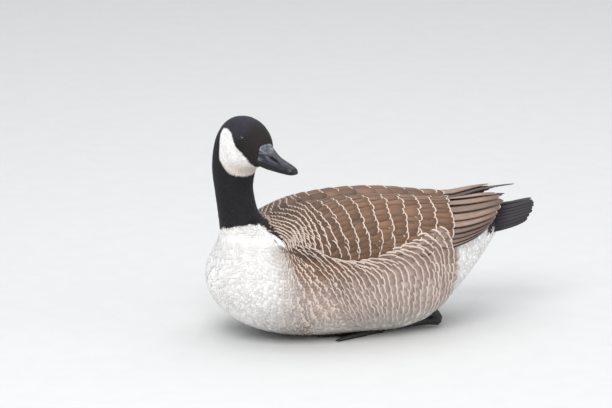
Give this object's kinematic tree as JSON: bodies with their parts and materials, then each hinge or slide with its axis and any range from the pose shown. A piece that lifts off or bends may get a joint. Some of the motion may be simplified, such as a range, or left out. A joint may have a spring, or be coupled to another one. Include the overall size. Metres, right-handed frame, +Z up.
{
  "type": "canada goose",
  "caption": "Canada goose resting on its belly with folded wings, upright neck and head turned to its left, as a still life-size model.",
  "frame": {"origin": "centre of the bounding box's footprint, on the floor under the belly", "axes": "+X from the breast to the tail, +Y to the bird's right side, +Z up"},
  "size_m": [0.449, 0.218, 0.295],
  "materials": {
    "pale_plumage": "soft matt feather",
    "black_plumage": "soft matt feather",
    "brown_plumage": "matt feather with pale edges",
    "tail_quills": "smooth dark feather",
    "bill_horn": "satin horn",
    "eye": "wet gloss",
    "foot_skin": "scaled skin"
  },
  "bodies": {
    "root": {"torso": "pale_plumage", "neck": "black_plumage", "head": "black_plumage", "wing_left": "brown_plumage", "wing_right": "brown_plumage", "tail": "tail_quills", "bill_upper": "bill_horn", "bill_lower": "bill_horn", "eye_left": "eye", "eye_right": "eye", "leg_left": "foot_skin", "leg_right": "foot_skin", "foot_left": "foot_skin", "foot_right": "foot_skin"}
  },
  "joints": []
}
